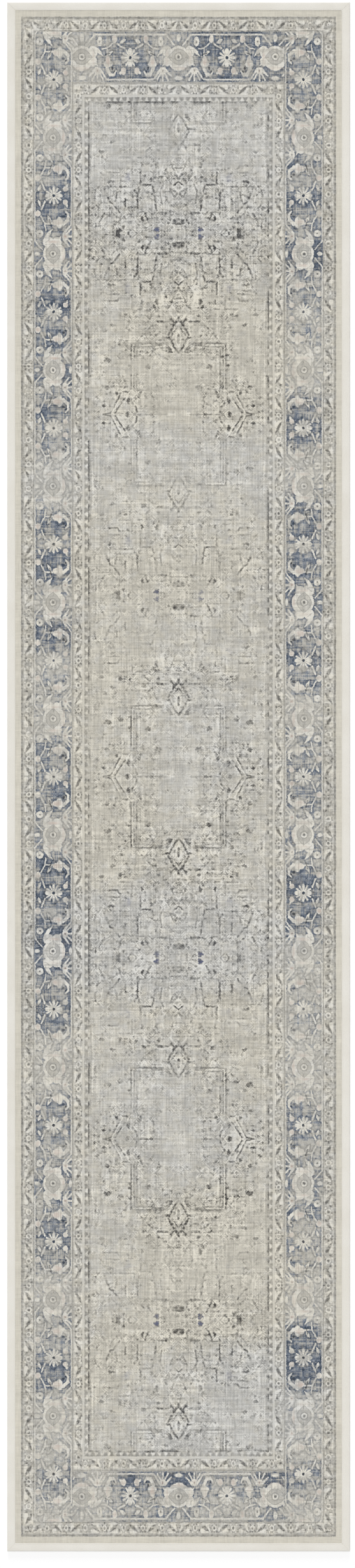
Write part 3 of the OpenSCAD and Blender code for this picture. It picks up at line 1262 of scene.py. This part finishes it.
def ripple(x, y):
    """A slight unevenness of the cloth, zero at its edges, within about a tenth of a mm."""
    wave = np.sin(x * 31 + 1.7 * np.sin(y * 5.3)) * np.sin(y * 23 + 2.1 * np.sin(x * 7.9))
    wave += 0.6 * np.sin(x * 13 - y * 17)
    fade = np.clip((inset_at(x, y) - core_inset) / RIPPLE_FADE, 0, 1)
    return wave * fade * RIPPLE_HEIGHT


def make_face(material):
    """The printed cloth, which steps down to the backing at its edge."""
    insets = (rim_inset, hem_width, core_inset)
    rim_top = face_low.z + face_high.z - felt_high.z

    def top(x, y):
        flat = stepped(inset_at(x, y), hem_width, core_inset, rim_top, face_high.z)
        return flat + ripple(x, y) - RIPPLE_ROOM

    def bottom(x, y):
        return stepped(inset_at(x, y), hem_width, core_inset, face_low.z, felt_high.z)

    xs = layer_places(half_width, FACE_STEP, insets)
    ys = layer_places(half_length, FACE_STEP, insets)
    vertices, faces = closed_sheet(xs, ys, top, bottom)
    piece = make_piece("printed_face", vertices, faces, material, ["face_cloth"])
    wear = piece.data.attributes.new("wear", "FLOAT_VECTOR", "POINT")
    wear.data.foreach_set("vector", wear_at(vertices[:, 0], vertices[:, 1]).ravel())
    return piece


def make_felt(material):
    vertices, faces = closed_sheet(
        spaced(felt_high.x, FELT_STEP), spaced(felt_high.y, FELT_STEP),
        lambda x, y: np.full(x.shape, felt_high.z),
        lambda x, y: np.full(x.shape, felt_low.z),
    )
    return make_piece("felt_pad", vertices, faces, material, ["felt_core"])


def make_backing(material):
    """The backing, with the dent that the care label makes in it."""
    rim_bottom = backing_high.z - felt_low.z
    rise_end = hem_width + RIM_RISE
    insets = (rim_inset, hem_width, rise_end, core_inset)
    dent_end = label_high.x + DENT_ROOM
    dent_low = label_low.y - DENT_ROOM
    dent_high = label_high.y + DENT_ROOM
    dent_ys = (dent_low, dent_low - DENT_WALL, dent_high, dent_high + DENT_WALL)

    def bottom(x, y):
        flat = stepped(inset_at(x, y), hem_width, rise_end, rim_bottom, 0.0)
        in_x = (x < dent_end + HAIR) & (x > hem_width - half_width)
        in_y = (y > dent_low - HAIR) & (y < dent_high + HAIR)
        return np.where(in_x & in_y, np.maximum(flat, DENT_DEPTH), flat)

    def top(x, y):
        return stepped(inset_at(x, y), hem_width, core_inset, backing_high.z, felt_low.z)

    xs = layer_places(half_width, BACKING_STEP, insets, (dent_end, dent_end + DENT_WALL))
    ys = layer_places(half_length, BACKING_STEP, insets, dent_ys)
    vertices, faces = closed_sheet(xs, ys, top, bottom)
    return make_piece("rug_backing", vertices, faces, material, ["grip_backing"])


def arc(centre, radii, start, end, count):
    """Points of an elliptical arc between two angles in degrees, ends included."""
    angles = np.radians(np.linspace(start, end, count))
    return [
        (centre[0] + radii[0] * math.cos(a), centre[1] + radii[1] * math.sin(a))
        for a in angles
    ]


def tape_outline():
    """The folded tape's cross-section as (inset from the edge, height) points."""
    fold = (hem_top - hem_bottom) / 2
    lip = TAPE_THICKNESS / 2
    lip_x = hem_width - lip
    seam = [
        (seam_from_edge - 2 * MM, 0), (seam_from_edge - 0.7 * MM, 0.4),
        (seam_from_edge, 1), (seam_from_edge + 0.7 * MM, 0.4),
    ]
    outline = arc((lip_x, hem_top - lip), (lip, lip), 0, 90, 4)
    outline += [(x, hem_top - share * SEAM_DIP) for x, share in reversed(seam)]
    outline += [(TAPE_CROWN, hem_top + 0.05 * MM)]
    outline += arc((fold, hem_bottom + fold), (fold, fold), 90, 270, 11)
    outline += [(TAPE_CROWN, hem_bottom)]
    outline += [(x, hem_bottom + share * SEAM_DIP / 2) for x, share in seam]
    outline += arc((lip_x, hem_bottom + lip), (lip, lip), -90, 60, 4)
    outline += [(rim_inset, hem_bottom + TAPE_THICKNESS)]
    outline += [(rim_inset, hem_top - TAPE_THICKNESS)]
    return outline


def turned(points, quarter_turns):
    """Points turned about the rug's middle by a number of quarter turns, each to the left."""
    x, y, z = points.T
    for _ in range(quarter_turns):
        x, y = -y, x
    return np.stack([x, y, z], axis=-1)


# Each side of the hem is drawn along the -X side of a rug of its own size and turned into
# place: (name, quarter turns, is one of the long sides)
SIDES = (
    ("left", 0, True),
    ("near_end", 1, False),
    ("right", 2, True),
    ("far_end", 3, False),
)


def side_halves(long_side):
    """Half the width and half the length of the rug, as seen from one of its sides."""
    return (half_width, half_length) if long_side else (half_length, half_width)


def make_binding(name, quarter_turns, long_side, material):
    """One strip of folded tape, mitred at both ends."""
    across_half, along_half = side_halves(long_side)
    outline = tape_outline()

    def mitred_row(sign, step):
        """Points a step in from the mitre, which is a shallow groove between two strips."""
        for inset, height in outline:
            groove = MITRE_GROOVE if step == 0 and height > hem_top - 0.3 * MM else 0
            yield inset - across_half, sign * (along_half - inset - step), height - groove

    def straight_row(y):
        """Points straight across the tape, whose top is pulled a little by its seam."""
        pull = PUCKER * math.sin(y / MM * 0.9) * math.sin(y / MM * 0.13)
        for inset, height in outline:
            on_top = height > hem_top - TAPE_THICKNESS
            dip = pull * min(1, inset / (10 * MM)) if on_top else 0
            yield inset - across_half, y, height - dip

    straight_half = along_half - MITRE_LENGTH
    straight = np.linspace(-straight_half, straight_half, round(straight_half / TAPE_STEP))
    rows = [mitred_row(-1, step) for step in MITRE_STEPS]
    rows += [straight_row(y) for y in straight]
    rows += [mitred_row(1, step) for step in reversed(MITRE_STEPS)]
    vertices = np.array([point for row in rows for point in row])
    faces = tube_faces(len(rows), len(outline))
    placed = turned(vertices, quarter_turns)
    return make_piece(f"{name}_hem", placed, faces, material, [f"{name}_binding"])


def stitch_shape(length, under=False):
    """One stitch along +Y, a bent bead of thread whose ends sink into the cloth."""
    sides, rings = 6, 5
    vertices = []
    for i in range(rings):
        share = i / (rings - 1)
        bow = math.sin(math.pi * share)
        radius = STITCH_WIDTH / 2 * (0.45 + 0.55 * bow)
        for j in range(sides):
            angle = 2 * math.pi * j / sides
            z = radius * math.sin(angle) + (bow - 1) * STITCH_WIDTH * 0.6
            vertices.append((radius * math.cos(angle), (share - 0.5) * length, z))
    faces = tube_faces(rings, sides)
    if under:
        return np.array(vertices) * (1, 1, -1), faces
    return np.array(vertices), [face[::-1] for face in faces]


def copies(placed, base_faces):
    """One mesh of a shape's copies, each an array of its placed points."""
    count = len(placed[0])
    faces = []
    for i in range(len(placed)):
        faces += [tuple(i * count + v for v in face) for face in base_faces]
    return np.concatenate(placed), faces


def make_seam(name, quarter_turns, long_side, needle, material):
    """The stitches of one side's seam, on top of the hem or under it."""
    across_half, along_half = side_halves(long_side)
    half_seam = along_half - seam_from_edge
    count = round(2 * half_seam / STITCH_PITCH)
    middles = (np.arange(count) + 0.5) / count * 2 * half_seam - half_seam
    x = seam_from_edge - across_half
    z = hem_top + STITCH_WIDTH * 0.35 if needle else hem_bottom - STITCH_WIDTH * 0.5
    shape, faces = stitch_shape(STITCH_PITCH * 0.82, under=not needle)
    vertices, faces = copies([shape + (x, y, z) for y in middles], faces)
    vertices[:, 2] = np.maximum(vertices[:, 2], 0)
    stitches, thread = ("top", "needle") if needle else ("under", "bobbin")
    return make_piece(
        f"{name}_{stitches}_stitches", turned(vertices, quarter_turns), faces, material,
        [f"{name}_{thread}_thread"],
    )


def make_mitre_stitches(material):
    """Hand stitches across each mitre."""
    shape, faces = stitch_shape(MITRE_STITCH)
    x, y, z = shape.T
    placed = []
    for sx in (-1, 1):
        for sy in (-1, 1):
            turn = math.radians(45 * sx * sy)
            slanted = np.stack([
                x * math.cos(turn) - y * math.sin(turn),
                x * math.sin(turn) + y * math.cos(turn),
                z + hem_top + thread_width * 0.3,
            ], axis=-1)
            for inset in np.linspace(*MITRE_STITCHES):
                placed.append(slanted + (sx * (half_width - inset), sy * (half_length - inset), 0))
    vertices, faces = copies(placed, faces)
    return make_piece("corner_stitches", vertices, faces, material, ["mitre_stitches"])


def make_label(material):
    """A thin ribbon from between the tape and the backing to flat under the backing."""
    inner_edge = hem_width - half_width
    tucked_z = label_high.z - LABEL_THICKNESS / 2
    flat_z = LABEL_THICKNESS / 2 + 0.01 * MM
    bend_middle = (inner_edge - 0.3 * MM, (tucked_z + flat_z) / 2 + 0.1 * MM)
    path = [(label_low.x, tucked_z), (inner_edge - 1 * MM, tucked_z)]
    path += arc(bend_middle, (0.6 * MM, 0.45 * MM), 70, -10, 4)
    path += [(inner_edge + 1.2 * MM, flat_z)]
    path += [(x, flat_z) for x in np.linspace(inner_edge + 3 * MM, label_high.x, 12)]
    ys = np.linspace(label_low.y, label_high.y, 9)
    vertices = [
        (x, y, z + side * LABEL_THICKNESS / 2)
        for side in (1, -1) for x, z in path for y in ys
    ]
    faces = sheet_faces(len(path), len(ys))
    return make_piece("blank_label", vertices, faces, material, ["care_label"])


# ---- build the rug
cloth = printed_cloth()
tape = binding_tape()
thread = sewing_thread()

face = make_face(cloth)
felt_pad = make_felt(felt())
backing = make_backing(grip_rubber())
label = make_label(label_satin())
make_mitre_stitches(thread)
seams = {}
for side_name, turns, is_long in SIDES:
    make_binding(side_name, turns, is_long, tape)
    seams[side_name] = [
        make_seam(side_name, turns, is_long, needle, thread) for needle in (True, False)
    ]

# The binding tape's width when laid flat, before it is folded
tape_cut = 2 * hem_width + (hem_top - hem_bottom)
for side_name, _, is_long in SIDES:
    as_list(seams[side_name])

# ---- floor, light and camera
FLOOR_HALF = 30.0


def make_floor():
    """A plain pale floor."""
    mesh = bpy.data.meshes.new("floor")
    corners = [(x * FLOOR_HALF, y * FLOOR_HALF, 0) for x, y in ((-1, -1), (1, -1), (1, 1), (-1, 1))]
    mesh.from_pydata(corners, [], [(0, 1, 2, 3)])
    floor = bpy.data.objects.new("floor", mesh)
    bpy.context.scene.collection.objects.link(floor)
    material, _, shader = new_material("floor", 0.9)
    shader.inputs["Base Color"].default_value = (0.93, 0.93, 0.93, 1)
    shader.inputs["Specular IOR Level"].default_value = 0.0
    mesh.materials.append(material)


def make_sun(name, strength, from_direction, spread):
    """A far lamp whose light comes from a direction, softened by its spread in degrees."""
    lamp = bpy.data.lights.new(name, "SUN")
    lamp.energy = strength
    lamp.angle = math.radians(spread)
    sun = bpy.data.objects.new(name, lamp)
    sun.rotation_mode = "QUATERNION"
    sun.rotation_quaternion = Vector(from_direction).to_track_quat("Z", "Y")
    bpy.context.scene.collection.objects.link(sun)


def make_studio():
    """Soft light from all round and above, and a low lamp past the far end."""
    world = bpy.data.worlds.new("studio")
    world.use_nodes = True
    background = world.node_tree.nodes["Background"]
    background.inputs["Color"].default_value = (1, 1, 1, 1)
    background.inputs["Strength"].default_value = 0.6
    bpy.context.scene.world = world
    make_sun("overhead", 1.42, (-0.2, 0.25, 1.0), 60)
    make_sun("low_far_end", 1.4, (-0.05, 1.0, 0.16), 12)


PICTURE_TO_RUG = 1.01219     # the picture's height over the rug's length
CAMERA_OFFSET = (-2.487 * MM, -17.182 * MM)     # from the middle of the rug
LENS = 85
SENSOR = 36


def make_camera():
    """A camera straight above the rug, with the rug's far end at the top of the picture."""
    data = bpy.data.cameras.new("camera")
    data.lens = LENS
    data.sensor_width = SENSOR
    data.clip_end = 100
    camera = bpy.data.objects.new("camera", data)
    distance = 2 * half_length * PICTURE_TO_RUG * LENS / SENSOR
    camera.location = (*CAMERA_OFFSET, hem_top + distance)
    bpy.context.scene.collection.objects.link(camera)
    bpy.context.scene.camera = camera


make_floor()
make_studio()
make_camera()
bpy.context.scene.view_settings.view_transform = "Standard"
